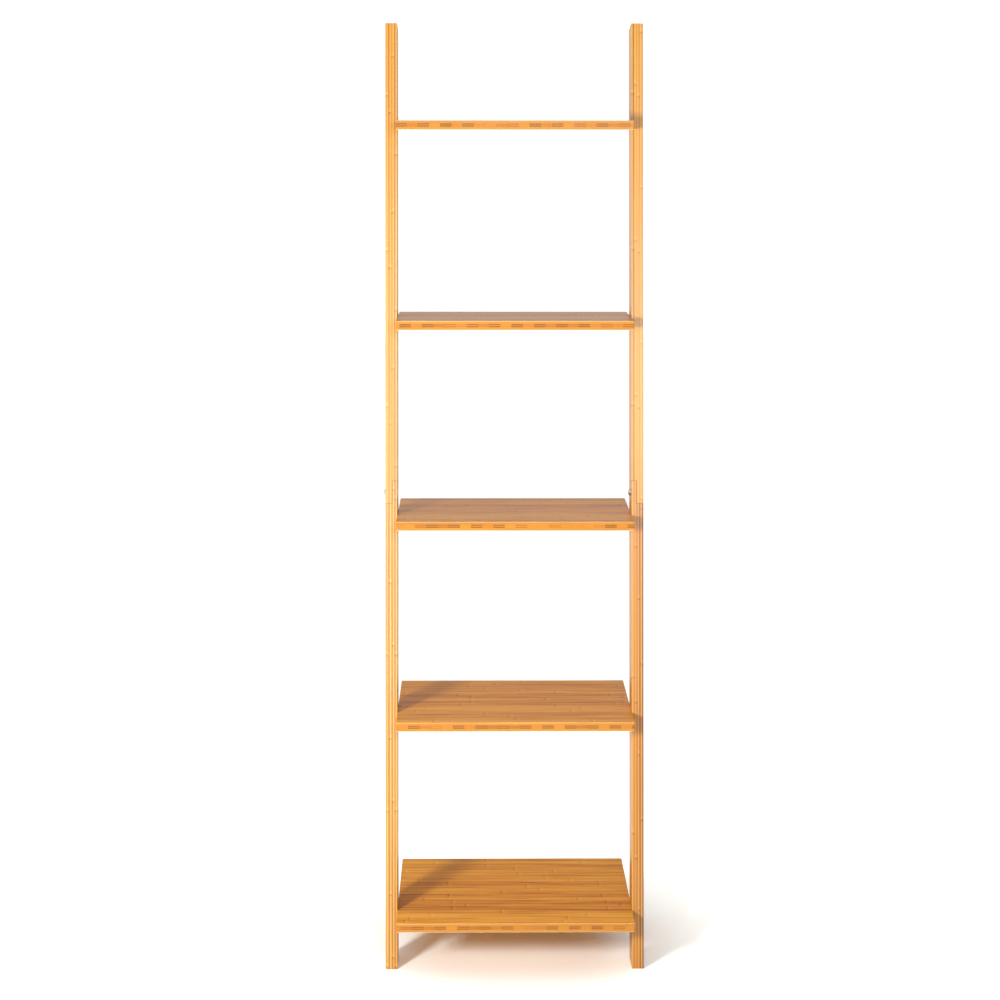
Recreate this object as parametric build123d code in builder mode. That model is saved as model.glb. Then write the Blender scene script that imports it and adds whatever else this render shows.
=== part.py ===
from build123d import *
import os
from math import cos, radians, sin, tan

os.makedirs("parts", exist_ok=True)

# A leaning ladder shelf in laminated bamboo. Two side rails stand on the floor and lean back
# until their top corners touch the wall. Five level shelves are bolted between them, each one
# standing forward of the rails and reaching back to the wall. Each rail comes in two halves,
# joined at mid height by a half lap with two connector bolts.
#
# Frame: millimetres, +Z up, +Y towards the wall, +X to the right of someone facing the shelves.
# The origin is on the floor, midway between the rails and midway in depth.

# Overall layout
overall_width = 480.0
lean = 8.9
lowest_shelf_height = 108.0
shelf_spacing = 363.0
rail_above_top_shelf = 179.0
shelf_overhang = 77.0
shelf_names = ["bottom_shelf", "second_shelf", "middle_shelf", "fourth_shelf", "top_shelf"]

# Boards
rail_thickness = 22.0
rail_depth = 70.0
shelf_thickness = 17.0
edge_round = 1.0

# Half lap in each rail, measured along the rail's front edge
lap_above_shelf = 42.5
lap_length = 42.0
inner_tongue = 9.5

# Bolt thread and the key that drives every bolt and cap nut
thread_radius = 3.0
thread_clearance = 0.25
tip_chamfer = 0.6
key_size = 4.0
key_depth = 2.2

# Shelf bolts: countersunk, from the rail's outer face into a barrel nut in the shelf's end
shelf_bolt_spacing = 36.0
countersunk_radius = 6.0
barrel_setback = 22.0
barrel_radius = 5.0
barrel_cover = 2.0
barrel_clearance = 0.1
barrel_slot_width = 1.2
barrel_slot_depth = 1.0
bolt_tail = 1.0
bore_tip_room = 0.5

# Lap bolts: a domed head on one face of the rail, and a cap nut let in flush with the other
lap_bolt_spacing = 34.0
dome_radius = 7.0
dome_height = 3.6
dome_rim = 0.8
flange_radius = 7.0
flange_thickness = 1.2
flange_clearance = 0.2
sleeve_radius = 4.5
sleeve_length = 12.5
sleeve_clearance = 0.1
nut_bore_depth = 10.5
nut_tip_room = 0.7

# Where the boards stand
tilt = radians(lean)
shelf_tops = [lowest_shelf_height + i * shelf_spacing for i in range(len(shelf_names))]
rail_length = (shelf_tops[-1] + rail_above_top_shelf) / cos(tilt)
rail_outer = overall_width / 2
rail_inner = rail_outer - rail_thickness
lap_seam = rail_inner + inner_tongue
reach_to_wall = rail_length * sin(tilt) + rail_depth * cos(tilt)
reach_forward = shelf_overhang - lowest_shelf_height * tan(tilt)
toe_y = (reach_forward - reach_to_wall) / 2
wall_y = toe_y + reach_to_wall
lap_middle = (shelf_tops[len(shelf_tops) // 2] + lap_above_shelf) / cos(tilt)
lap_low = lap_middle - lap_length / 2
lap_high = lap_middle + lap_length / 2
rail_direction = Axis((0, 0, 0), (0, sin(tilt), cos(tilt)))
sides = {"left": -1, "right": 1}


def rail_point(along, behind):
    """(y, z) of the point so far up a rail's front edge and so far square behind that edge."""
    y = toe_y + along * sin(tilt) + behind * cos(tilt)
    z = along * cos(tilt) - behind * sin(tilt)
    return (y, z)


def rail_strip(low, high):
    """The four corners of a square-cut stretch of rail, seen from the side."""
    return [
        rail_point(low, 0),
        rail_point(low, rail_depth),
        rail_point(high, rail_depth),
        rail_point(high, 0),
    ]


def shelf_front(top):
    """How far forward the shelf at this height comes."""
    return toe_y + top * tan(tilt) - shelf_overhang


def shelf_bolt_places(top):
    """(y, z) of the two bolts that enter each end of the shelf at this height."""
    z = top - shelf_thickness / 2
    middle = toe_y + z * tan(tilt) + rail_depth / cos(tilt) / 2
    return [(middle - shelf_bolt_spacing / 2, z), (middle + shelf_bolt_spacing / 2, z)]


def lap_bolt_places():
    """(y, z) of the two bolts through a rail's half lap."""
    middle = rail_depth / 2
    half = lap_bolt_spacing / 2
    return [rail_point(lap_middle, middle - half), rail_point(lap_middle, middle + half)]


def facing_x(x, places, direction):
    """Locations on the plane at x whose normals point along X, forwards or backwards."""
    planes = [Plane(origin=(x, y, z), z_dir=(direction, 0, 0)) for y, z in places]
    return [plane.location for plane in planes]


def make_countersunk_bolt(length):
    """One shelf bolt, its flat head on the XY plane and its shank up +Z."""
    with BuildPart() as bolt:
        with BuildSketch(Plane.XZ):
            with BuildLine():
                Polyline(
                    (0, 0),
                    (countersunk_radius, 0),
                    (thread_radius, countersunk_radius - thread_radius),
                    (thread_radius, length - tip_chamfer),
                    (thread_radius - tip_chamfer, length),
                    (0, length),
                    close=True,
                )
            make_face()
        revolve(axis=Axis.Z)
        with BuildSketch(Plane.XY):
            RegularPolygon(key_size / 2, 6, major_radius=False)
        extrude(amount=key_depth, mode=Mode.SUBTRACT)
    return bolt.part


def make_domed_bolt(length):
    """One lap bolt, its head seated on the XY plane below, and its shank up +Z."""
    with BuildPart() as bolt:
        with BuildSketch(Plane.XZ):
            with BuildLine():
                TangentArc((0, -dome_height), (dome_radius, -dome_rim), tangent=(1, 0))
                Polyline(
                    (dome_radius, -dome_rim),
                    (dome_radius, 0),
                    (thread_radius, 0),
                    (thread_radius, length - tip_chamfer),
                    (thread_radius - tip_chamfer, length),
                    (0, length),
                    (0, -dome_height),
                )
            make_face()
        revolve(axis=Axis.Z)
        with BuildSketch(Plane.XY.offset(-dome_height)):
            RegularPolygon(key_size / 2, 6, major_radius=False)
        extrude(amount=key_depth, mode=Mode.SUBTRACT)
    return bolt.part


def make_cap_nut():
    """One cap nut, its flange's face on the XY plane and its sleeve up +Z."""
    length = flange_thickness + sleeve_length
    with BuildPart() as nut:
        Cylinder(flange_radius, flange_thickness, align=(Align.CENTER, Align.CENTER, Align.MIN))
        with BuildSketch(Plane.XY.offset(flange_thickness)):
            Circle(sleeve_radius)
        extrude(amount=sleeve_length)
        rim = nut.edges().filter_by(GeomType.CIRCLE).group_by(Axis.Z)[0]
        chamfer(rim, flange_thickness / 3)
        with Locations((0, 0, length)):
            Hole(thread_radius, depth=nut_bore_depth)
        with BuildSketch(Plane.XY):
            RegularPolygon(key_size / 2, 6, major_radius=False)
        extrude(amount=key_depth, mode=Mode.SUBTRACT)
    return nut.part


def make_barrel_nut():
    """One barrel nut, upright and centred on its cross thread, with a slot in its lower end."""
    length = shelf_thickness - 2 * barrel_cover
    with BuildPart() as nut:
        Cylinder(barrel_radius, length)
        with Locations(facing_x(0, [(0, 0)], 1)):
            Hole(thread_radius, depth=barrel_radius)
        with BuildSketch(Plane.XY.offset(-length / 2)):
            Rectangle(barrel_slot_width, 2 * barrel_radius)
        extrude(amount=barrel_slot_depth, mode=Mode.SUBTRACT)
    return nut.part


def make_rail_half(side, outline, tongue, tongue_from, tongue_to, tops):
    """One half of a side rail, with its lap tongue, bolt holes and eased long edges."""
    low_face = min(side * rail_inner, side * rail_outer)
    high_face = max(side * rail_inner, side * rail_outer)
    with BuildPart() as half:
        with BuildSketch(Plane.YZ.offset(side * rail_inner)):
            with BuildLine():
                Polyline(*outline, close=True)
            make_face()
        extrude(amount=side * rail_thickness)
        with BuildSketch(Plane.YZ.offset(side * tongue_from)):
            with BuildLine():
                Polyline(*tongue, close=True)
            make_face()
        extrude(amount=side * (tongue_to - tongue_from))
        across = half.edges().filter_by(rail_direction).group_by(Axis.X)
        fillet(across[0] + across[-1], edge_round)
        for top in tops:
            with Locations(facing_x(side * rail_outer, shelf_bolt_places(top), side)):
                CounterSinkHole(
                    radius=thread_radius + thread_clearance,
                    counter_sink_radius=countersunk_radius,
                    depth=rail_thickness,
                    counter_sink_angle=90,
                )
        with Locations(facing_x(low_face, lap_bolt_places(), -1)):
            Hole(thread_radius + thread_clearance, depth=rail_thickness)
        with Locations(facing_x(high_face, lap_bolt_places(), 1)):
            CounterBoreHole(
                radius=sleeve_radius + sleeve_clearance,
                counter_bore_radius=flange_radius + flange_clearance,
                counter_bore_depth=flange_thickness,
                depth=flange_thickness + sleeve_length,
            )
    return half.part


def write_piece(name, piece):
    piece.label = name
    export_step(piece, f"parts/{name}.step")


# Side rails: the foot is cut level with the floor, the top is cut square. The lower half's
# tongue is on the inside of the lap and the upper half's is on the outside.
foot_cut = rail_depth * tan(tilt)
lower_outline = [
    rail_point(0, 0),
    rail_point(foot_cut, rail_depth),
    rail_point(lap_low, rail_depth),
    rail_point(lap_low, 0),
]
lower_tongue = rail_strip(lap_low, lap_high)
upper_outline = rail_strip(lap_high, rail_length)
upper_tongue = rail_strip(lap_low, lap_high)
lower_tops = [top for top in shelf_tops if top < lap_low * cos(tilt)]
upper_tops = [top for top in shelf_tops if top >= lap_low * cos(tilt)]
for side_name, side in sides.items():
    lower = make_rail_half(side, lower_outline, lower_tongue, rail_inner, lap_seam, lower_tops)
    write_piece(f"{side_name}_rail_lower", lower)
    upper = make_rail_half(side, upper_outline, upper_tongue, lap_seam, rail_outer, upper_tops)
    write_piece(f"{side_name}_rail_upper", upper)

# Lap bolts and cap nuts: on both rails the bolts are driven towards +X, so the domed heads
# are outside the left rail and inside the right one.
lap_bolt_length = rail_thickness - flange_thickness - sleeve_length + nut_bore_depth - nut_tip_room
lap_bolt = make_domed_bolt(lap_bolt_length)
cap_nut = make_cap_nut()
for side_name, side in sides.items():
    low_face = min(side * rail_inner, side * rail_outer)
    with BuildPart() as lap_bolts:
        with Locations(facing_x(low_face, lap_bolt_places(), 1)):
            add(lap_bolt)
    write_piece(f"{side_name}_lap_bolts", lap_bolts.part)

    with BuildPart() as lap_nuts:
        with Locations(facing_x(low_face + rail_thickness, lap_bolt_places(), -1)):
            add(cap_nut)
    write_piece(f"{side_name}_lap_nuts", lap_nuts.part)

# Shelves: level boards that butt between the rails' inner faces, with a bore for each bolt in
# the ends and a blind hole for each barrel nut in the underside.
barrel_x = rail_inner - barrel_setback
bolt_into_shelf = barrel_setback + barrel_radius + bolt_tail
shelf_bolt = make_countersunk_bolt(rail_thickness + bolt_into_shelf)
barrel_nut = make_barrel_nut()
for name, top in zip(shelf_names, shelf_tops):
    front = shelf_front(top)
    bottom = top - shelf_thickness
    places = shelf_bolt_places(top)
    barrels = [(side * barrel_x, y) for side in sides.values() for y, z in places]
    with BuildPart() as shelf:
        with BuildSketch(Plane.XY.offset(bottom)):
            with Locations((0, (front + wall_y) / 2)):
                Rectangle(2 * rail_inner, wall_y - front)
        extrude(amount=shelf_thickness)
        fillet(shelf.edges().filter_by(Axis.X), edge_round)
        for side in sides.values():
            with Locations(facing_x(side * rail_inner, places, side)):
                Hole(thread_radius + thread_clearance, depth=bolt_into_shelf + bore_tip_room)
        with Locations([(x, y, bottom) for x, y in barrels]):
            Hole(barrel_radius + barrel_clearance, depth=shelf_thickness - barrel_cover)
    write_piece(name, shelf.part)

    with BuildPart() as shelf_bolts:
        for side in sides.values():
            with Locations(facing_x(side * rail_outer, places, -side)):
                add(shelf_bolt)
    write_piece(f"{name}_bolts", shelf_bolts.part)

    with BuildPart() as barrel_nuts:
        with Locations([(x, y, top - shelf_thickness / 2) for x, y in barrels]):
            add(barrel_nut)
    write_piece(f"{name}_barrel_nuts", barrel_nuts.part)
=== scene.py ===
# %% [markdown]
# # A leaning ladder shelf in laminated bamboo
# Two side rails stand on the floor and lean back until their tops touch a wall. Five level
# shelves are bolted between them, and each rail is two halves joined by a half lap. The boards
# arrive as a fixed frame of measured parts. This lesson gives them their bamboo, makes the
# bolts with real threads, and sets up a plain white studio.

# %% Load the frame
from math import atan, cos, pi, radians, sin

import bmesh
import bpy
from mathutils import Matrix, Vector


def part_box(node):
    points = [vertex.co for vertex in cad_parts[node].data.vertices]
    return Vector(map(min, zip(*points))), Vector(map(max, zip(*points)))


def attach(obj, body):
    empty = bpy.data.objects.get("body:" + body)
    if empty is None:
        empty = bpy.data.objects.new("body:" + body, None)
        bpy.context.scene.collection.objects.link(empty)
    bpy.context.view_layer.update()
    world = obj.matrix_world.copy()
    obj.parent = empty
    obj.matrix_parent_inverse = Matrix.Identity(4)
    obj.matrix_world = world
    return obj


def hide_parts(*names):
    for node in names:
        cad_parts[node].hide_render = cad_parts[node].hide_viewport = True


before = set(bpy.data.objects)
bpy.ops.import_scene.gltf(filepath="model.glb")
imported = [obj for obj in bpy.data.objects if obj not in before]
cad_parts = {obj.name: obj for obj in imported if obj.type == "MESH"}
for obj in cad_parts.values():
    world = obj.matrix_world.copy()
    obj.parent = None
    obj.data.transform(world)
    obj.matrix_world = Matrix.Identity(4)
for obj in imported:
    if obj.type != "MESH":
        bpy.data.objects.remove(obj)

scene = bpy.context.scene
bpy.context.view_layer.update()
mm = 0.001

# %% [markdown]
# ## Names and measures
# Everything is placed from the parts of the frame. The shelves give the heights, the rails give
# the width, and the lean follows from how much further back each shelf starts than the one
# under it. Only sizes that no part's box gives are typed in, in millimetres.

# %% Measure the boards
shelves = ["bottom_shelf", "second_shelf", "middle_shelf", "fourth_shelf", "top_shelf"]
rails = [f"{side}_rail_{half}" for side in ("left", "right") for half in ("lower", "upper")]
low_shelf, high_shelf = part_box(shelves[0]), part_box(shelves[-1])
bays = len(shelves) - 1
bay_height = (high_shelf[1].z - low_shelf[1].z) / bays
shelf_thickness = low_shelf[1].z - low_shelf[0].z
shelf_bottom = low_shelf[0].z
wall_y = low_shelf[1].y
slope = (high_shelf[0].y - low_shelf[0].y) / (high_shelf[1].z - low_shelf[1].z)
lean = atan(slope)
rail_inner = low_shelf[1].x
rail_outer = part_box("right_rail_lower")[1].x
rail_thickness = rail_outer - rail_inner
rail_toe_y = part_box("right_rail_lower")[0].y
print("lean", round(lean * 180 / pi, 2), "degrees; bays", round(bay_height / mm, 1), "mm")

# %% [markdown]
# ## Two small helpers
# Colours are easier to choose as the hex values of a paint chart, but Blender mixes light in
# linear values, so one function turns one into the other. The second helper adds a node with
# its settings and links, which keeps a long tree readable from top to bottom.

# %% Colour and node helpers
def linear(code):
    """A hex colour such as 'C98B4A' as linear red, green, blue and an alpha of 1."""
    parts = [int(code[i : i + 2], 16) / 255 for i in (0, 2, 4)]
    return tuple(c / 12.92 if c <= 0.04045 else ((c + 0.055) / 1.055) ** 2.4 for c in parts) + (1,)


def add(tree, kind, inputs={}, out=0, stops=(), **settings):
    """Adds a node, sets it up, links or fills its inputs, and returns one of its outputs."""
    node = tree.nodes.new(kind)
    for name, value in settings.items():
        setattr(node, name, value)
    for key, value in inputs.items():
        if isinstance(value, bpy.types.NodeSocket):
            tree.links.new(value, node.inputs[key])
        else:
            node.inputs[key].default_value = value
    if stops:
        marks = node.color_ramp.elements
        while len(marks) < len(stops):
            marks.new(1)
        for mark, (place, colour) in zip(marks, stops):
            mark.position = place
            mark.color = colour
    return node.outputs[out] if len(node.outputs) else node


def start_material(name):
    """A new material with an empty tree."""
    material = bpy.data.materials.new(name)
    material.use_nodes = True
    material.node_tree.nodes.clear()
    return material, material.node_tree


print("white paper is", [round(c, 2) for c in linear("F4F1EA")])

# %% [markdown]
# ## What the two bamboos share
# Rails and shelves are both glued up from strips of bamboo, so three ideas serve both. A glue
# line lies at each edge of a strip. A node of the culm is a thin dark line across a strip, with a
# paler band beside it. And every mark adds its own share to one darkness, which a colour ramp
# turns to colour at the end, so that no mark needs a colour of its own.

# %% Spacing of the culm's nodes
node_spacing = 290.0
node_length = 2.4
node_width = node_length / node_spacing
print("a node is", node_length, "mm long, every", node_spacing, "mm")


# %% Glue lines, node marks and darkness
def edge_line(tree, part, start, full, easing="LINEAR"):
    """A line at both edges of a strip, from the place across the strip, which runs 0 to 1."""
    off = add(tree, "ShaderNodeMath", {0: part, 1: 0.5}, operation="SUBTRACT")
    off = add(tree, "ShaderNodeMath", {0: off}, operation="ABSOLUTE")
    fade = {"Value": off, "From Min": start, "From Max": full}
    return add(tree, "ShaderNodeMapRange", fade, interpolation_type=easing)


def culm_node_mark(tree, phase):
    """A dark line where the phase passes a half, less a paler band just beyond it."""
    part = add(tree, "ShaderNodeMath", {0: phase}, operation="FRACT")
    past = add(tree, "ShaderNodeMath", {0: part, 1: 0.5}, operation="SUBTRACT")
    beside = add(tree, "ShaderNodeMath", {0: past, 1: 2.2 * node_width}, operation="SUBTRACT")
    marks = []
    for place, far, near in ((past, 1.0, 0.2), (beside, 1.6, 0.4)):
        off = add(tree, "ShaderNodeMath", {0: place}, operation="ABSOLUTE")
        fade = {"Value": off, "From Min": far * node_width, "From Max": near * node_width}
        marks.append(add(tree, "ShaderNodeMapRange", fade, interpolation_type="SMOOTHSTEP"))
    line, band = marks
    return add(tree, "ShaderNodeMath", {0: band, 1: -0.45, 2: line}, operation="MULTIPLY_ADD")


def add_up(tree, start, shares):
    """Adds every (mark, share of darkness) to the start."""
    total = start
    for mark, share in shares:
        given = {0: mark, 1: share, 2: total}
        total = add(tree, "ShaderNodeMath", given, operation="MULTIPLY_ADD")
    return total


print("a node's line takes", round(100 * node_width, 2), "percent of the spacing")

# %% [markdown]
# ## Laminated bamboo for the rails
# A bamboo rail is sawn from a block of split strips, glued side by side and face to face. Each
# strip is dense and dark towards the skin of the culm and pale towards its hollow, so the front
# edge of a rail shows lengthwise stripes, and every strip has a joint of the culm now and then,
# a node, which shows as a short darker dash. The fibres are long hairlines.
#
# One could paint this on each face with a UV map. A solid texture is truer: the colour depends
# only on where a point is in the block, so faces and edges agree at every corner, as they do
# on sawn stock. The coordinates are turned by the lean first, so the strips run along the rail.

# %% Sizes of the rail's strips
lamella = 5.5
strip_width = 17.5
fibre_width = 0.7
fibre_length = 90.0
streak_width = 2.6
streak_length = 420.0
# the rail's depth, measured square to its lean
rail_depth = 70.0
# the lap's shoulders, measured along the rail, come from where its two halves end
lower_half, upper_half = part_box("right_rail_lower"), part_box("right_rail_upper")
lap_high = lower_half[1].z / cos(lean)
lap_low = (upper_half[0].z + rail_depth * mm * sin(lean)) / cos(lean)
# the lap's seam, measured from the rail's inner face, and how wide its lines are drawn
lap_seam = 9.5 * mm
joint_line = 0.7
# how much darker the block of the right rail's lower half is, and the seed of lamella tones
darker_block = 0.17
lamella_seed = 34.0
print("lap shoulders at", round(lap_low, 4), "and", round(lap_high, 4), "m along the rail")
print("a rail has", round(rail_thickness / mm / lamella), "lamellas across its thickness")

# %% Rail bamboo: coordinates along the block
# Carbonised bamboo under clear satin lacquer, sanded flat: a warm straw and caramel stripe, with
# a soft broad highlight rather than a mirror.
rail_bamboo, tree = start_material("laminated_bamboo_rail_satin_lacquer")
place = add(tree, "ShaderNodeTexCoord", out="Object")
block = add(
    tree,
    "ShaderNodeMapping",
    {
        "Vector": place,
        "Location": (0, -rail_toe_y * cos(lean) / mm, -rail_toe_y * sin(lean) / mm),
        "Rotation": (lean, 0, 0),
        "Scale": (1 / mm, 1 / mm, 1 / mm),
    },
)
split = tree.nodes.new("ShaderNodeSeparateXYZ")
tree.links.new(block, split.inputs[0])
x, across, along = split.outputs
print("the block is turned along the rail,", len(tree.nodes), "nodes so far")

# %% Rail bamboo: lamellas
# Which lamella, counted from the inner face of either rail.
inward = add(tree, "ShaderNodeMath", {0: x}, operation="ABSOLUTE")
depth = add(tree, "ShaderNodeMath", {0: inward, 1: rail_inner / mm}, operation="SUBTRACT")
layer = add(tree, "ShaderNodeMath", {0: depth, 1: lamella}, operation="DIVIDE")
layer_index = add(tree, "ShaderNodeMath", {0: layer}, operation="FLOOR")
layer_part = add(tree, "ShaderNodeMath", {0: layer}, operation="FRACT")
side = add(tree, "ShaderNodeMath", {0: x}, operation="SIGN")
print("lamellas are counted,", len(tree.nodes), "nodes so far")

# %% Rail bamboo: strips
# Which strip across the rail's depth; every other lamella is shifted by half a strip.
shift = add(
    tree, "ShaderNodeMath", {0: layer_index, 1: 0.5, 2: 0.13}, operation="MULTIPLY_ADD"
)
strip = add(
    tree, "ShaderNodeMath", {0: across, 1: 1 / strip_width, 2: shift}, operation="MULTIPLY_ADD"
)
strip_index = add(tree, "ShaderNodeMath", {0: strip}, operation="FLOOR")
strip_part = add(tree, "ShaderNodeMath", {0: strip}, operation="FRACT")
print("strips are counted,", len(tree.nodes), "nodes so far")

# %% Rail bamboo: the two halves
# Which half of the rail: the lap's seam runs up the middle between its two shoulders.
outside = add(
    tree, "ShaderNodeMath", {0: depth, 1: lap_seam / mm}, operation="GREATER_THAN"
)
shoulder = add(
    tree,
    "ShaderNodeMix",
    {0: outside, 2: lap_high / mm, 3: lap_low / mm},
    data_type="FLOAT",
)
past_shoulder = add(tree, "ShaderNodeMath", {0: along, 1: shoulder}, operation="SUBTRACT")
half = add(tree, "ShaderNodeMath", {0: past_shoulder, 1: 0.0}, operation="GREATER_THAN")
print("halves are told apart,", len(tree.nodes), "nodes so far")

# %% Rail bamboo: the lap's lines
# The joint shows as a hairline along the shoulders and the seam.
off_shoulder = add(tree, "ShaderNodeMath", {0: past_shoulder}, operation="ABSOLUTE")
shoulder_line = add(
    tree,
    "ShaderNodeMapRange",
    {"Value": off_shoulder, "From Min": joint_line, "From Max": 0.2 * joint_line},
)
off_seam = add(tree, "ShaderNodeMath", {0: depth, 1: lap_seam / mm}, operation="SUBTRACT")
off_seam = add(tree, "ShaderNodeMath", {0: off_seam}, operation="ABSOLUTE")
seam_line = add(
    tree,
    "ShaderNodeMapRange",
    {"Value": off_seam, "From Min": joint_line, "From Max": 0.2 * joint_line},
)
above_low = add(tree, "ShaderNodeMath", {0: along, 1: lap_low / mm}, operation="GREATER_THAN")
below_high = add(tree, "ShaderNodeMath", {0: along, 1: lap_high / mm}, operation="LESS_THAN")
in_lap = add(tree, "ShaderNodeMath", {0: above_low, 1: below_high}, operation="MULTIPLY")
seam_line = add(tree, "ShaderNodeMath", {0: seam_line, 1: in_lap}, operation="MULTIPLY")
joint = add(tree, "ShaderNodeMath", {0: shoulder_line, 1: seam_line}, operation="MAXIMUM")
print("the lap has its lines,", len(tree.nodes), "nodes so far")

# %% Rail bamboo: tones
# Every strip has its own tone and its own place for its nodes.
piece = add(tree, "ShaderNodeMath", {0: half, 1: 5.0, 2: side}, operation="MULTIPLY_ADD")
layer_which = add(tree, "ShaderNodeCombineXYZ", {0: layer_index, 1: lamella_seed, 2: piece})
layer_tone = add(tree, "ShaderNodeTexWhiteNoise", {"Vector": layer_which}, out="Value")
which = add(tree, "ShaderNodeCombineXYZ", {0: layer_index, 1: strip_index, 2: piece})
chance = tree.nodes.new("ShaderNodeTexWhiteNoise")
tree.links.new(which, chance.inputs["Vector"])
tone, lot = chance.outputs["Value"], chance.outputs["Color"]
print("every strip has a tone,", len(tree.nodes), "nodes so far")

# %% Rail bamboo: streaks and fibres
# Long streaks and fine fibres, both drawn out along the rail.
streak_scaled = add(
    tree,
    "ShaderNodeMapping",
    {
        "Vector": block,
        "Scale": (1 / streak_width, 1 / streak_width, 1 / streak_length),
    },
)
lot_shift = add(
    tree, "ShaderNodeVectorMath", {0: lot, 1: (37.0, 53.0, 71.0)}, operation="MULTIPLY"
)
streak_place = add(
    tree, "ShaderNodeVectorMath", {0: streak_scaled, 1: lot_shift}, operation="ADD"
)
streak = add(
    tree,
    "ShaderNodeTexNoise",
    {"Vector": streak_place, "Scale": 1.0, "Detail": 3.0, "Roughness": 0.6},
)
fibre_place = add(
    tree,
    "ShaderNodeMapping",
    {"Vector": block, "Scale": (1 / fibre_width, 1 / fibre_width, 1 / fibre_length)},
)
fibre = add(
    tree,
    "ShaderNodeTexNoise",
    {"Vector": fibre_place, "Scale": 1.0, "Detail": 2.0, "Roughness": 0.5},
)
print("streaks and fibres run along the rail,", len(tree.nodes), "nodes so far")

# %% Rail bamboo: dense skins and nodes of the culm
# The dense side of each lamella.
dense = add(
    tree,
    "ShaderNodeMapRange",
    {"Value": layer_part, "From Min": 0.25, "From Max": 0.95},
    interpolation_type="SMOOTHSTEP",
)
# a node of the culm every so often along a strip
phase = add(
    tree,
    "ShaderNodeMath",
    {0: along, 1: 1 / node_spacing, 2: tone},
    operation="MULTIPLY_ADD",
)
wander = add(
    tree, "ShaderNodeMath", {0: streak, 1: 0.02, 2: phase}, operation="MULTIPLY_ADD"
)
node_mark = culm_node_mark(tree, wander)
print("skins and nodes are marked,", len(tree.nodes), "nodes so far")

# %% Rail bamboo: glue lines
# Glue lines between strips and between lamellas.
strip_line = edge_line(tree, strip_part, 0.483, 0.497)
layer_line = edge_line(tree, layer_part, 0.45, 0.49)
glue = add(tree, "ShaderNodeMath", {0: strip_line, 1: layer_line}, operation="MAXIMUM")
print("glue lines are drawn,", len(tree.nodes), "nodes so far")

# %% Rail bamboo: darkness to colour
# The dense skins count for most, and the right rail's lower half is from a darker block.
contrast = add(tree, "ShaderNodeMapRange", {"Value": streak, "From Min": 0.3, "From Max": 0.7})
skin = add(tree, "ShaderNodeMath", {0: dense, 1: layer_tone}, operation="MULTIPLY")
right_lower = add(tree, "ShaderNodeMath", {0: piece, 1: 1.0, 2: 0.5}, operation="COMPARE")
dark = add_up(
    tree,
    0.0,
    [
        (tone, 0.14),
        (right_lower, darker_block),
        (skin, 0.78),
        (contrast, 0.26),
        (fibre, 0.14),
        (node_mark, 0.24),
        (glue, 0.16),
        (joint, 0.75),
    ],
)
colour = add(
    tree,
    "ShaderNodeValToRGB",
    {0: dark},
    stops=[
        (0.05, linear("CC9E4C")),
        (0.35, linear("B47C22")),
        (0.75, linear("985D0E")),
        (1.0, linear("633206")),
    ],
)
gloss = add(
    tree,
    "ShaderNodeMapRange",
    {"Value": fibre, "To Min": 0.32, "To Max": 0.44},
)
height = add(tree, "ShaderNodeMath", {0: glue, 1: -0.6, 2: fibre}, operation="MULTIPLY_ADD")
bump = add(
    tree, "ShaderNodeBump", {"Height": height, "Strength": 0.25, "Distance": 0.06 * mm}
)
surface = add(
    tree,
    "ShaderNodeBsdfPrincipled",
    {
        "Base Color": colour,
        "Roughness": gloss,
        "Normal": bump,
        "IOR": 1.45,
        "Specular IOR Level": 0.8,
    },
)
add(tree, "ShaderNodeOutputMaterial", {"Surface": surface})

print("rail bamboo has", len(rail_bamboo.node_tree.nodes), "nodes")

# %% [markdown]
# ## Three-ply bamboo for the shelves
# A shelf is three plies. The outer two are strips laid side by side along the shelf. The core
# runs from front to back, so its strips show their ends on the front edge as a row of blocks,
# many with two dark dashes where their dense skins meet the glue. Again one solid texture
# serves every face. Which ply a point is in follows from its height above the shelf's underside,
# and all five shelves share the material because they repeat at one spacing.

# %% Sizes of the shelf's plies and strips
face_strip = 19.0
core_strip = 20.5
skin_dash = 1.9
row_streak_width = 3.0
row_streak_length = 260.0
core_fibre_width = 0.8
short_fibre_length = 70.0
# how far upright faces of the outer plies and of the core are darkened towards brown, a painted
# shade
upright_shade_share = 0.85
core_upright_shade_share = 0.4
# the painted highlight along the top and bottom arrises of upright faces, as a share of a ply's
# thickness
arris_highlight_share = 0.26
print("each ply is", round(shelf_thickness / mm / 3, 2), "mm thick")


# %% Shelf bamboo: coordinates up from the underside
# The same lacquered bamboo, a little darker and glossier. The faces are planed across wide
# strips, so tone changes from strip to strip, with hairlines and faint dashes at the nodes.
shelf_bamboo, tree = start_material("three_ply_bamboo_satin_lacquer")
place = add(tree, "ShaderNodeTexCoord", out="Object")
block = add(
    tree,
    "ShaderNodeMapping",
    {
        "Vector": place,
        "Location": (0, 0, -shelf_bottom / mm),
        "Scale": (1 / mm, 1 / mm, 1 / mm),
    },
)
split = tree.nodes.new("ShaderNodeSeparateXYZ")
tree.links.new(block, split.inputs[0])
x, y, z = split.outputs
print("the block starts at the bottom shelf,", len(tree.nodes), "nodes so far")

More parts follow.
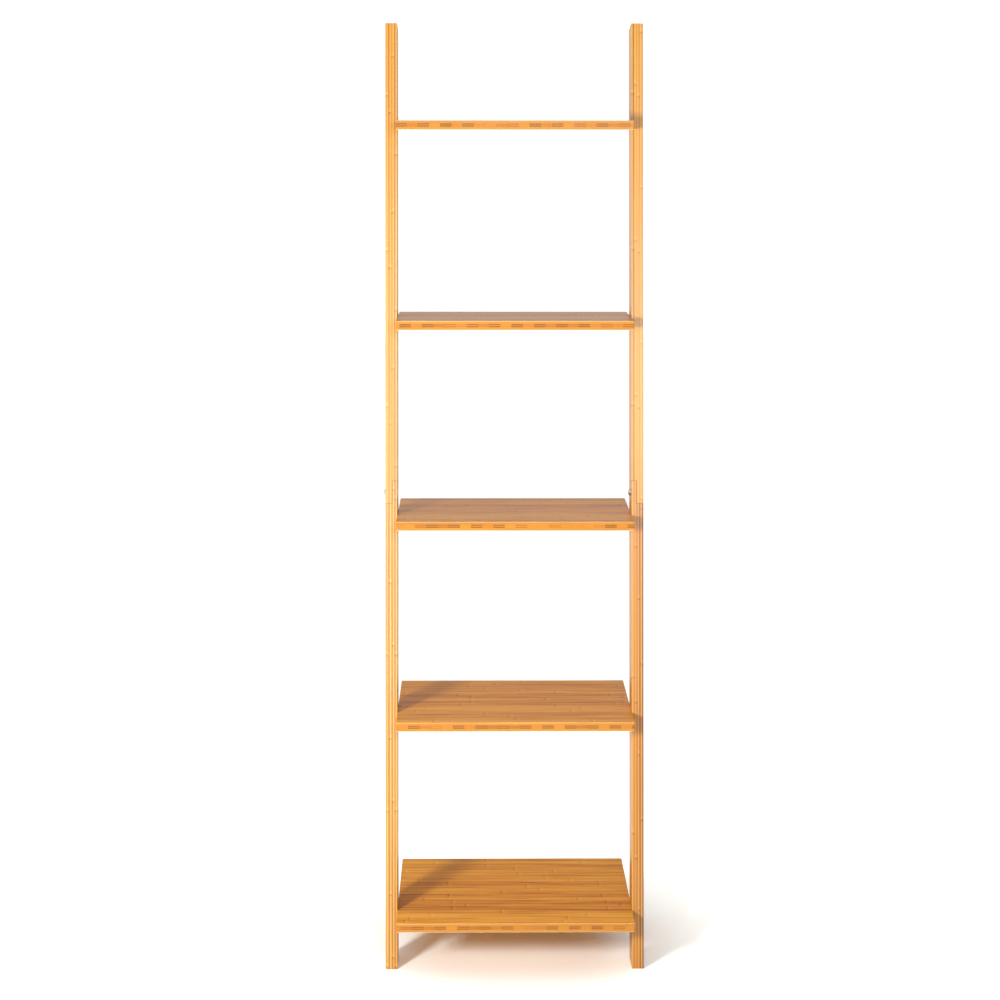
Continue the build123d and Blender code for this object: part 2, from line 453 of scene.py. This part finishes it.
# %% Shelf bamboo: plies
# Which shelf, and how far up in it.
tier = add(
    tree,
    "ShaderNodeMath",
    {0: z, 1: mm / bay_height, 2: 0.1},
    operation="MULTIPLY_ADD",
)
tier = add(tree, "ShaderNodeMath", {0: tier}, operation="FLOOR")
up = add(
    tree,
    "ShaderNodeMath",
    {0: tier, 1: -bay_height / mm, 2: z},
    operation="MULTIPLY_ADD",
)
ply = add(
    tree, "ShaderNodeMath", {0: up, 1: 3 * mm / shelf_thickness}, operation="MULTIPLY"
)
ply_index = add(tree, "ShaderNodeMath", {0: ply}, operation="FLOOR")
from_middle = add(tree, "ShaderNodeMath", {0: ply, 1: 1.5}, operation="SUBTRACT")
from_middle = add(tree, "ShaderNodeMath", {0: from_middle}, operation="ABSOLUTE")
in_core = add(tree, "ShaderNodeMath", {0: from_middle, 1: 0.5}, operation="LESS_THAN")
print("plies are counted,", len(tree.nodes), "nodes so far")

# %% Shelf bamboo: strips of the outer plies
# Strips of the outer plies, counted from the wall.
row = add(
    tree,
    "ShaderNodeMath",
    {0: y, 1: 1 / face_strip, 2: -wall_y / mm / face_strip},
    operation="MULTIPLY_ADD",
)
row_index = add(tree, "ShaderNodeMath", {0: row}, operation="FLOOR")
row_part = add(tree, "ShaderNodeMath", {0: row}, operation="FRACT")
ply_and_tier = add(
    tree, "ShaderNodeMath", {0: tier, 1: 7.0, 2: ply_index}, operation="MULTIPLY_ADD"
)
row_which = add(tree, "ShaderNodeCombineXYZ", {0: row_index, 1: ply_and_tier, 2: 3.0})
row_chance = tree.nodes.new("ShaderNodeTexWhiteNoise")
tree.links.new(row_which, row_chance.inputs["Vector"])
row_tone, row_lot = row_chance.outputs["Value"], row_chance.outputs["Color"]
print("outer strips have their tones,", len(tree.nodes), "nodes so far")

# %% Shelf bamboo: strips of the core
# Strips of the core, a little out of step from shelf to shelf.
block_shift = add(tree, "ShaderNodeMath", {0: tier, 1: 0.37, 2: 0.2}, operation="MULTIPLY_ADD")
core = add(
    tree,
    "ShaderNodeMath",
    {0: x, 1: 1 / core_strip, 2: block_shift},
    operation="MULTIPLY_ADD",
)
core_index = add(tree, "ShaderNodeMath", {0: core}, operation="FLOOR")
core_part = add(tree, "ShaderNodeMath", {0: core}, operation="FRACT")
core_which = add(tree, "ShaderNodeCombineXYZ", {0: core_index, 1: tier, 2: 11.0})
core_chance = tree.nodes.new("ShaderNodeTexWhiteNoise")
tree.links.new(core_which, core_chance.inputs["Vector"])
core_tone = core_chance.outputs["Value"]
print("core strips have their tones,", len(tree.nodes), "nodes so far")

# %% Shelf bamboo: streaks and fibres
# Streaks and fibres along the outer strips.
lot_shift = add(
    tree, "ShaderNodeVectorMath", {0: row_lot, 1: (61.0, 29.0, 47.0)}, operation="MULTIPLY"
)
along_row = (1 / row_streak_length, 1 / row_streak_width, 1 / row_streak_width)
streak_scaled = add(tree, "ShaderNodeMapping", {"Vector": block, "Scale": along_row})
streak_place = add(
    tree, "ShaderNodeVectorMath", {0: streak_scaled, 1: lot_shift}, operation="ADD"
)
streak = add(
    tree,
    "ShaderNodeTexNoise",
    {"Vector": streak_place, "Scale": 1.0, "Detail": 3.0, "Roughness": 0.65},
)
# a broader figure where a strip's face cuts through the fibre bundles
figure_place = add(
    tree, "ShaderNodeVectorMath", {0: streak_place, 1: (1.7, 0.45, 0.45)}, operation="MULTIPLY"
)
figure = add(
    tree,
    "ShaderNodeTexNoise",
    {"Vector": figure_place, "Scale": 1.0, "Detail": 2.0, "Distortion": 0.4},
)
figure = add(tree, "ShaderNodeMapRange", {"Value": figure, "From Min": 0.42, "From Max": 0.68})
fibre_scale = (1 / short_fibre_length, 1 / fibre_width, 1 / fibre_width)
fibre_place = add(tree, "ShaderNodeMapping", {"Vector": block, "Scale": fibre_scale})
fibre = add(
    tree, "ShaderNodeTexNoise", {"Vector": fibre_place, "Scale": 1.0, "Detail": 2.0}
)
# fibres of the core run from front to back
core_scale = (1 / core_fibre_width, 1 / short_fibre_length, 1 / core_fibre_width)
core_place = add(tree, "ShaderNodeMapping", {"Vector": block, "Scale": core_scale})
core_fibre = add(
    tree, "ShaderNodeTexNoise", {"Vector": core_place, "Scale": 1.0, "Detail": 2.0}
)
print("streaks and fibres are drawn,", len(tree.nodes), "nodes so far")

# %% Shelf bamboo: nodes of the culm
# Nodes of the culm, one or two to a strip.
phase = add(
    tree, "ShaderNodeMath", {0: x, 1: 1 / node_spacing, 2: row_tone}, operation="MULTIPLY_ADD"
)
phase = add(tree, "ShaderNodeMath", {0: streak, 1: 0.025, 2: phase}, operation="MULTIPLY_ADD")
node_mark = culm_node_mark(tree, phase)
print("nodes are marked,", len(tree.nodes), "nodes so far")

# %% Shelf bamboo: glue lines
# Glue lines between strips; those of the outer plies are drawn wider than real, to show.
row_line = edge_line(tree, row_part, 0.40, 0.495, "SMOOTHSTEP")
core_line = edge_line(tree, core_part, 0.475, 0.497)
print("glue lines are drawn,", len(tree.nodes), "nodes so far")

# %% Shelf bamboo: dashes of the core
# The two dark dashes of a core block: every other strip is laid with its dense skin outwards.
dash_from = 0.5 - 3 * skin_dash * mm / shelf_thickness
dash = add(
    tree,
    "ShaderNodeMapRange",
    {"Value": from_middle, "From Min": dash_from, "From Max": dash_from + 0.08},
    interpolation_type="SMOOTHSTEP",
)
turned = add(tree, "ShaderNodeMath", {0: core_index, 1: 0.5}, operation="MULTIPLY")
turned = add(tree, "ShaderNodeMath", {0: turned}, operation="FRACT")
dash_lot = add(
    tree, "ShaderNodeMath", {0: core_tone, 1: 0.6, 2: turned}, operation="MULTIPLY_ADD"
)
dash_depth = add(
    tree,
    "ShaderNodeMapRange",
    {"Value": dash_lot, "From Min": 0.5, "From Max": 1.05, "To Max": 1.0},
)
dash = add(tree, "ShaderNodeMath", {0: dash, 1: dash_depth}, operation="MULTIPLY")
print("the core has its dashes,", len(tree.nodes), "nodes so far")

# %% Shelf bamboo: darkness to colour
# Darkness of the outer plies.
contrast = add(tree, "ShaderNodeMapRange", {"Value": streak, "From Min": 0.3, "From Max": 0.7})
row_line = add(tree, "ShaderNodeMath", {0: row_line, 1: row_tone}, operation="MULTIPLY")
face = add_up(
    tree,
    0.04,
    [
        (row_tone, 0.20),
        (contrast, 0.27),
        (fibre, 0.16),
        (node_mark, 0.15),
        (row_line, 0.40),
        (figure, 0.24),
    ],
)
# darkness of the core
heart_shares = [(core_tone, 0.16), (core_fibre, 0.22), (core_line, 0.2), (dash, 0.85)]
heart = add_up(tree, 0.47, heart_shares)
dark = add(tree, "ShaderNodeMix", {0: in_core, 2: face, 3: heart}, data_type="FLOAT")
colour = add(
    tree,
    "ShaderNodeValToRGB",
    {0: dark},
    stops=[
        (0.10, linear("E4AA44")),
        (0.42, linear("D08A24")),
        (0.72, linear("A15C0B")),
        (1.0, linear("3E1C03")),
    ],
)
print("planed faces have their colour,", len(tree.nodes), "nodes so far")

# %% Shelf bamboo: painted shade and highlight on upright faces, and lacquer
# Upright faces, the sawn edges and ends, are darkened towards brown as painted shade, and a pale
# painted highlight runs along their top and bottom arrises.
facing = add(tree, "ShaderNodeTexCoord", out="Normal")
level = add(tree, "ShaderNodeSeparateXYZ", {0: facing}, out="Z")
level = add(tree, "ShaderNodeMath", {0: level}, operation="ABSOLUTE")
sawn = add(tree, "ShaderNodeMath", {0: level, 1: 0.5}, operation="LESS_THAN")
# painted shade: upright faces go towards brown by which way they face, the core less so
upright_shade = add(
    tree,
    "ShaderNodeMath",
    {0: in_core, 1: core_upright_shade_share - upright_shade_share, 2: upright_shade_share},
    operation="MULTIPLY_ADD",
)
upright_shade = add(tree, "ShaderNodeMath", {0: upright_shade, 1: sawn}, operation="MULTIPLY")
colour = add(
    tree,
    "ShaderNodeMix",
    {"Factor": upright_shade, 6: colour, 7: linear("9A6835")},
    out=2,
    data_type="RGBA",
)
# painted highlight: a pale cream line along the top and bottom arrises of upright faces
arris_highlight = add(
    tree,
    "ShaderNodeMapRange",
    {"Value": from_middle, "From Min": 1.5 - arris_highlight_share, "From Max": 1.5},
    interpolation_type="SMOOTHSTEP",
)
arris_highlight = add(tree, "ShaderNodeMath", {0: arris_highlight, 1: sawn}, operation="MULTIPLY")
colour = add(
    tree,
    "ShaderNodeMix",
    {"Factor": arris_highlight, 6: colour, 7: linear("EBCF98")},
    out=2,
    data_type="RGBA",
)
gloss = add(tree, "ShaderNodeMapRange", {"Value": fibre, "To Min": 0.22, "To Max": 0.36})
height = add(tree, "ShaderNodeMath", {0: row_line, 1: -0.6, 2: fibre}, operation="MULTIPLY_ADD")
bump = add(
    tree, "ShaderNodeBump", {"Height": height, "Strength": 0.25, "Distance": 0.06 * mm}
)
surface = add(
    tree,
    "ShaderNodeBsdfPrincipled",
    {
        "Base Color": colour,
        "Roughness": gloss,
        "Normal": bump,
        "IOR": 1.45,
        "Specular IOR Level": 0.1,
    },
)
add(tree, "ShaderNodeOutputMaterial", {"Surface": surface})

print("shelf bamboo has", len(shelf_bamboo.node_tree.nodes), "nodes")

# %% [markdown]
# ## Zinc-plated steel for the fasteners
# The bolts and nuts are turned steel with a thin bright zinc plate. It is a metal, so its colour
# is all reflection, and the plate leaves a faint cloudiness that varies the gloss.

# %% Zinc-plated steel material
def make_zinc_plate():
    material, tree = start_material("zinc_plated_turned_steel")
    place = add(tree, "ShaderNodeTexCoord", out="Object")
    cloud = add(
        tree, "ShaderNodeTexNoise", {"Vector": place, "Scale": 1 / (3 * mm), "Detail": 4.0}
    )
    colour = add(
        tree,
        "ShaderNodeValToRGB",
        {0: cloud},
        stops=[(0.3, linear("C9C8C2")), (0.7, linear("DEDCD4"))],
    )
    gloss = add(tree, "ShaderNodeMapRange", {"Value": cloud, "To Min": 0.2, "To Max": 0.42})
    surface = add(
        tree,
        "ShaderNodeBsdfPrincipled",
        {"Base Color": colour, "Roughness": gloss, "Metallic": 1.0},
    )
    add(tree, "ShaderNodeOutputMaterial", {"Surface": surface})
    return material


zinc_plate = make_zinc_plate()
print("zinc plate has", len(zinc_plate.node_tree.nodes), "nodes")

# %% [markdown]
# ## Bolts with real threads
# Two kinds of bolt hold the shelf: flat-headed ones let in flush with the rails, which reach the
# barrel nuts in the shelves, and domed ones through the half laps. Both are turned steel with a
# hexagon socket and an M6 thread.
#
# A head is the same shape all the way round, so a lathe suits it: rings of points, joined one to
# the next. The socket's rings are pulled out to a hexagon. A thread is a ridge that follows a
# helix, and there are two dozen bolts, so Geometry Nodes sweep the ridge and set the bolts out.

# %% A lathe for the heads
thread_radius = 3.0 * mm
thread_pitch = 1.0 * mm
core_radius = 2.5 * mm
key_across = 4.0 * mm
key_depth = 2.2 * mm
turn_steps = 48


def ring_radius(radius, hexagonal, angle):
    """How far out a ring's point is at an angle: a circle, or a hexagon's flat side."""
    if not hexagonal:
        return radius
    return radius / cos((angle + pi / 6) % (pi / 3) - pi / 6)


def turn_profile(name, profile):
    """A closed solid of rings (radius, height, hexagonal) about Z, from the top's centre on."""
    mesh = bmesh.new()
    rings = []
    for radius, height, hexagonal in profile:
        if radius == 0:
            rings.append([mesh.verts.new((0, 0, height))])
            continue
        ring = []
        for step in range(turn_steps):
            angle = 2 * pi * step / turn_steps
            out = ring_radius(radius, hexagonal, angle)
            ring.append(mesh.verts.new((out * cos(angle), out * sin(angle), height)))
        rings.append(ring)
    for first, second in zip(rings, rings[1:]):
        for step in range(turn_steps):
            after = (step + 1) % turn_steps
            corners = [first[step % len(first)], first[after % len(first)]]
            corners += [second[after % len(second)], second[step % len(second)]]
            mesh.faces.new(list(dict.fromkeys(corners)))
    bmesh.ops.recalc_face_normals(mesh, faces=mesh.faces)
    data = bpy.data.meshes.new(name)
    mesh.to_mesh(data)
    mesh.free()
    return bpy.data.objects.new(name, data)


# %% The two heads
shelf_bolt_length = 50.0 * mm
lap_bolt_length = 18.1 * mm
flat_head_radius = 6.0 * mm
dome_radius = 7.0 * mm
dome_height = 3.6 * mm
dome_rim = 0.8 * mm
edge_break = 0.12 * mm
tip_length = 0.6 * mm


def socket_rings(face):
    """The hexagon socket, from its drilled bottom up to the lead-in round its mouth."""
    mouth = key_across / 2 / cos(pi / 6) + edge_break
    return [
        (0, face + key_depth + 2 * edge_break, False),
        (key_across / 2, face + key_depth, True),
        (key_across / 2, face + 2 * edge_break, True),
        (mouth, face, False),
    ]


def shank_rings(length):
    """The core of the threaded shank and its tapered tip."""
    return [
        (core_radius, length - tip_length, False),
        (core_radius - tip_length / 2, length, False),
        (0, length, False),
    ]


flat_head = socket_rings(0) + [
    (flat_head_radius - edge_break, 0, False),
    (flat_head_radius, edge_break, False),
    (core_radius, flat_head_radius - core_radius, False),
]
sphere = (dome_radius**2 + (dome_height - dome_rim) ** 2) / (2 * (dome_height - dome_rim))
dome = [
    (radius, (sphere - (sphere**2 - radius**2) ** 0.5) - dome_height, False)
    for radius in [dome_radius * share for share in (0.5, 0.65, 0.8, 0.9, 1.0)]
]
socket_face = (sphere - (sphere**2 - (0.38 * dome_radius) ** 2) ** 0.5) - dome_height
dome_head = socket_rings(socket_face) + dome + [
    (dome_radius, -edge_break, False),
    (dome_radius - edge_break, 0, False),
    (core_radius, 0, False),
]
flat_bolt = turn_profile("flat_head_bolt", flat_head + shank_rings(shelf_bolt_length))
domed_bolt = turn_profile("domed_bolt", dome_head + shank_rings(lap_bolt_length))
print("heads have", len(flat_bolt.data.polygons), "and", len(domed_bolt.data.polygons), "faces")


# %% [markdown]
# ## A node tree that threads a bolt and sets it out
# The tree takes points that know which way their bolt is driven. It sweeps a small diamond along
# a spiral, which leaves half of the diamond standing out of the core as the thread's ridge, adds
# the turned head, and puts one bolt on every point.

# %% Build the tree
def add_sockets(tree, sockets):
    """Names the tree's inputs, and returns the group input node and each input's identifier."""
    tree.interface.new_socket("Geometry", in_out="OUTPUT", socket_type="NodeSocketGeometry")
    identifiers = {}
    for name, kind in sockets.items():
        socket = tree.interface.new_socket(name, in_out="INPUT", socket_type=kind)
        identifiers[name] = socket.identifier
    return tree.nodes.new("NodeGroupInput"), identifiers


def build_bolt_tree():
    tree = bpy.data.node_groups.new("threaded_bolts_on_points", "GeometryNodeTree")
    group, identifiers = add_sockets(
        tree,
        {
            "Places": "NodeSocketGeometry",
            "Bolt": "NodeSocketObject",
            "Thread Start": "NodeSocketFloat",
            "Thread End": "NodeSocketFloat",
            "Pitch": "NodeSocketFloat",
            "Core Radius": "NodeSocketFloat",
            "Ridge Height": "NodeSocketFloat",
            "Finish": "NodeSocketMaterial",
        },
    )
    given = group.outputs
    length = add(
        tree,
        "ShaderNodeMath",
        {0: given["Thread End"], 1: given["Thread Start"]},
        operation="SUBTRACT",
    )
    turns = add(tree, "ShaderNodeMath", {0: length, 1: given["Pitch"]}, operation="DIVIDE")
    helix = add(
        tree,
        "GeometryNodeCurveSpiral",
        {
            "Resolution": 20,
            "Rotations": turns,
            "Start Radius": given["Core Radius"],
            "End Radius": given["Core Radius"],
            "Height": length,
        },
    )
    helix = add(tree, "GeometryNodeSetCurveNormal", {"Curve": helix}, mode="Z_UP")
    diamond = add(
        tree, "GeometryNodeCurvePrimitiveCircle", {"Resolution": 4, "Radius": given["Ridge Height"]}
    )
    ridge = add(
        tree,
        "GeometryNodeCurveToMesh",
        {"Curve": helix, "Profile Curve": diamond, "Fill Caps": True},
    )
    lift = add(tree, "ShaderNodeCombineXYZ", {"Z": given["Thread Start"]})
    ridge = add(tree, "GeometryNodeTransform", {"Geometry": ridge, "Translation": lift})
    turned = add(tree, "GeometryNodeObjectInfo", {"Object": given["Bolt"]}, out="Geometry")
    whole = tree.nodes.new("GeometryNodeJoinGeometry")
    tree.links.new(ridge, whole.inputs[0])
    tree.links.new(turned, whole.inputs[0])
    driven = add(
        tree, "GeometryNodeInputNamedAttribute", {"Name": "driven"}, data_type="FLOAT_VECTOR"
    )
    facing = add(tree, "FunctionNodeAlignRotationToVector", {"Vector": driven}, axis="Z")
    bolts = add(
        tree,
        "GeometryNodeInstanceOnPoints",
        {"Points": given["Places"], "Instance": whole.outputs[0], "Rotation": facing},
    )
    bolts = add(tree, "GeometryNodeRealizeInstances", {0: bolts})
    bolts = add(tree, "GeometryNodeSetMaterial", {"Geometry": bolts, "Material": given["Finish"]})
    add(tree, "NodeGroupOutput", {0: bolts})
    return tree, identifiers


bolt_tree, bolt_inputs = build_bolt_tree()
print("the bolt tree has", len(bolt_tree.nodes), "nodes")


# %% Run the tree for a set of places
def make_bolts(name, places, bolt, thread_start, thread_end):
    """One plain mesh of threaded bolts, one at each (place, direction)."""
    points = bpy.data.meshes.new(name)
    points.from_pydata([place for place, direction in places], [], [])
    driven = points.attributes.new("driven", "FLOAT_VECTOR", "POINT")
    for item, (place, direction) in zip(driven.data, places):
        item.vector = direction
    carrier = bpy.data.objects.new(name + "_places", points)
    scene.collection.objects.link(carrier)
    nodes = carrier.modifiers.new("bolts", "NODES")
    nodes.node_group = bolt_tree
    sizes = {
        "Bolt": bolt,
        "Thread Start": thread_start,
        "Thread End": thread_end,
        "Pitch": thread_pitch,
        "Core Radius": core_radius,
        "Ridge Height": thread_radius - core_radius,
        "Finish": zinc_plate,
    }
    for label, value in sizes.items():
        nodes[bolt_inputs[label]] = value
    evaluated = carrier.evaluated_get(bpy.context.evaluated_depsgraph_get())
    data = bpy.data.meshes.new_from_object(evaluated)
    data.polygons.foreach_set("use_smooth", [True] * len(data.polygons))
    data.set_sharp_from_angle(angle=radians(32))
    piece = bpy.data.objects.new(name, data)
    scene.collection.objects.link(piece)
    bpy.data.objects.remove(carrier)
    return piece


# %% Shelf bolts: two into each end of every shelf
def finish_bolts(piece, node):
    """The threaded bolts take the place of the plain ones, which are hidden, and hang from the
    root.
    """
    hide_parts(node)
    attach(piece, "root")


for name in shelves:
    low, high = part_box(f"{name}_bolts")
    middle_z = (low.z + high.z) / 2
    places = []
    for x, inward_x in ((low.x, 1), (high.x, -1)):
        for y in (low.y + flat_head_radius, high.y - flat_head_radius):
            places.append(((x, y, middle_z), (inward_x, 0, 0)))
    bolts = make_bolts(
        f"{name}_threaded_bolts",
        places,
        flat_bolt,
        flat_head_radius - core_radius + thread_pitch / 2,
        shelf_bolt_length - tip_length - thread_pitch / 2,
    )
    finish_bolts(bolts, f"{name}_bolts")
    print(bolts.name, len(bolts.data.polygons), "faces")

# %% Lap bolts: two through each half lap, driven towards the right
for side in ("left", "right"):
    low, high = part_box(f"{side}_lap_bolts")
    seat_x = low.x + dome_height
    places = [
        ((seat_x, low.y + dome_radius, high.z - dome_radius), (1, 0, 0)),
        ((seat_x, high.y - dome_radius, low.z + dome_radius), (1, 0, 0)),
    ]
    bolts = make_bolts(
        f"{side}_lap_threaded_bolts",
        places,
        domed_bolt,
        thread_pitch,
        lap_bolt_length - tip_length - thread_pitch / 2,
    )
    finish_bolts(bolts, f"{side}_lap_bolts")
    print(bolts.name, len(bolts.data.polygons), "faces")

# %% Put the finishes on the boards and nuts
finishes = {name: rail_bamboo for name in rails}
finishes.update({name: shelf_bamboo for name in shelves})
finishes.update({f"{name}_barrel_nuts": zinc_plate for name in shelves})
finishes.update({f"{side}_lap_nuts": zinc_plate for side in ("left", "right")})
for name, material in finishes.items():
    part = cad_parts[name]
    part.data.materials.clear()
    part.data.materials.append(material)
print(len(finishes), "parts have their finish")

# %% [markdown]
# ## A white studio
# Ladder shelves are shown against plain white. The floor is a matt white sheet that glows a little
# away from the shelf, so that only what the shelf shades goes grey. The world is a white dome:
# bright at the horizon, which the upper shelves mirror at a glancing angle, dim at middle heights,
# so that the lower shelves stay rich in colour, and bright again overhead. It is dimmer on the
# side that the shelf faces.
#
# Two soft lights hang there instead. The key light, on the left at chest height, throws the left
# rail's soft shadow over each shelf. The weaker front light is where the middle of the leaning
# rails mirrors it, which makes them paler there.

# %% Floor
sheet_reach = 14.0
grain_scale = 40.0
# the glow starts this far from the shelf's middle and is full at the second distance, in metres
glow_from, glow_full, glow = 0.16, 0.65, 0.5
sideways = 1.3


def make_white_sheet():
    """Matt white card, with a glow that grows away from the origin, sooner to the sides."""
    material, tree = start_material("matt_white_sheet")
    place = add(tree, "ShaderNodeTexCoord", out="Object")
    grain = add(tree, "ShaderNodeTexNoise", {"Vector": place, "Scale": grain_scale})
    colour = add(
        tree,
        "ShaderNodeValToRGB",
        {0: grain},
        stops=[(0.0, linear("F4F6F2")), (1.0, linear("F8FAF6"))],
    )
    spread = add(
        tree, "ShaderNodeVectorMath", {0: place, 1: (sideways, 1, 1)}, operation="MULTIPLY"
    )
    away = add(tree, "ShaderNodeVectorMath", {0: spread}, out="Value", operation="LENGTH")
    lift = add(
        tree,
        "ShaderNodeMapRange",
        {"Value": away, "From Min": glow_from, "From Max": glow_full, "To Max": glow},
        interpolation_type="SMOOTHSTEP",
    )
    surface = add(
        tree,
        "ShaderNodeBsdfPrincipled",
        {
            "Base Color": colour,
            "Roughness": 1.0,
            "Specular IOR Level": 0.0,
            "Emission Color": (1, 1, 1, 1),
            "Emission Strength": lift,
        },
    )
    add(tree, "ShaderNodeOutputMaterial", {"Surface": surface})
    return material


corners = [(-1, -1), (1, -1), (1, 1), (-1, 1)]
corners = [(a * sheet_reach, b * sheet_reach, 0) for a, b in corners]
floor_mesh = bpy.data.meshes.new("white_sheet")
floor_mesh.from_pydata(corners, [], [(0, 1, 2, 3)])
floor_mesh.materials.append(make_white_sheet())
floor = bpy.data.objects.new("white_sheet", floor_mesh)
scene.collection.objects.link(floor)
print("the sheet is", 2 * sheet_reach, "m across")

# %% World: how bright the dome is at each height
dome_strength = 1.12
dome_levels = [(0.14, 1.0), (0.24, 0.35), (0.32, 0.1), (0.5, 0.2), (0.8, 0.8)]
world = bpy.data.worlds.new("white_dome")
scene.world = world
world.use_nodes = True
tree = world.node_tree
tree.nodes.clear()
way = add(tree, "ShaderNodeTexCoord", out="Generated")
up = add(tree, "ShaderNodeSeparateXYZ", {0: way}, out="Z")
back = add(tree, "ShaderNodeSeparateXYZ", {0: way}, out="Y")
height_light = add(
    tree,
    "ShaderNodeValToRGB",
    {0: up},
    stops=[(place, (level, level, level, 1)) for place, level in dome_levels],
)
print("the dome's levels are", dome_levels)

# %% World: dimmer in front, except overhead and at the horizon
front_level = 0.35
parts = [
    add(tree, "ShaderNodeMapRange", {"Value": value, **ends}, interpolation_type="SMOOTHSTEP")
    for value, ends in (
        (back, {"From Min": -0.2, "From Max": 0.3, "To Min": front_level}),
        (up, {"From Min": 0.5, "From Max": 0.8}),
        (up, {"From Min": 0.3, "From Max": 0.16}),
    )
]
behind, overhead, horizon = parts
share = add(tree, "ShaderNodeMath", {0: behind, 1: overhead}, operation="MAXIMUM")
share = add(tree, "ShaderNodeMath", {0: share, 1: horizon}, operation="MAXIMUM")
shine = add(tree, "ShaderNodeMath", {0: height_light, 1: dome_strength}, operation="MULTIPLY")
shine = add(tree, "ShaderNodeMath", {0: shine, 1: share}, operation="MULTIPLY")
dome = add(tree, "ShaderNodeBackground", {"Color": (1, 1, 1, 1), "Strength": shine})
add(tree, "ShaderNodeOutputWorld", {"Surface": dome})
print("the world has", len(tree.nodes), "nodes")

# %% Two soft lights
light_spread = radians(140)


def hang_soft_light(name, place, size, power, target):
    """A round soft light at a place, turned to face a target."""
    light_data = bpy.data.lights.new(name, "AREA")
    light_data.shape = "DISK"
    light_data.size = size
    light_data.energy = power
    light_data.spread = light_spread
    light = bpy.data.objects.new(name, light_data)
    light.location = place
    light.rotation_euler = (Vector(target) - Vector(place)).to_track_quat("-Z", "Y").to_euler()
    scene.collection.objects.link(light)


# name: where it hangs, how wide it is in metres, its watts, and what it faces
soft_lights = {
    "key_light": ((-1.44, -2.40, 1.19), 0.5, 68.0, (0, 0, 0.95)),
    "front_light": ((0.35, -2.8, 1.75), 0.9, 16.0, (0, 0, 1.2)),
}
for name, facts in soft_lights.items():
    hang_soft_light(name, *facts)
print(len(soft_lights), "soft lights hang in front")

# %% [markdown]
# ## The camera
# The shelf is seen from standing height, straight on and slightly from the left, looking down a
# little, through a long lens from about four and a half metres. That keeps the rails upright.

# %% Camera
camera_place = (-0.07505, -4.4784, 1.54526)
yaw, pitch, roll = radians(-0.616), radians(-8.688), radians(-0.058)
camera_data = bpy.data.cameras.new("camera")
camera_data.sensor_width = 36.0
camera_data.lens = 87.525
camera_data.clip_end = 100.0
camera = bpy.data.objects.new("camera", camera_data)
# at rest a camera looks straight down, so the last quarter turn, done first, makes it level
turn = (
    Matrix.Rotation(yaw, 4, "Z")
    @ Matrix.Rotation(pitch, 4, "X")
    @ Matrix.Rotation(roll, 4, "Y")
    @ Matrix.Rotation(pi / 2, 4, "X")
)
camera.matrix_world = Matrix.Translation(camera_place) @ turn
scene.collection.objects.link(camera)
scene.camera = camera
scene.view_settings.view_transform = "Standard"
print("the camera stands", round(-camera_place[1], 2), "m in front")
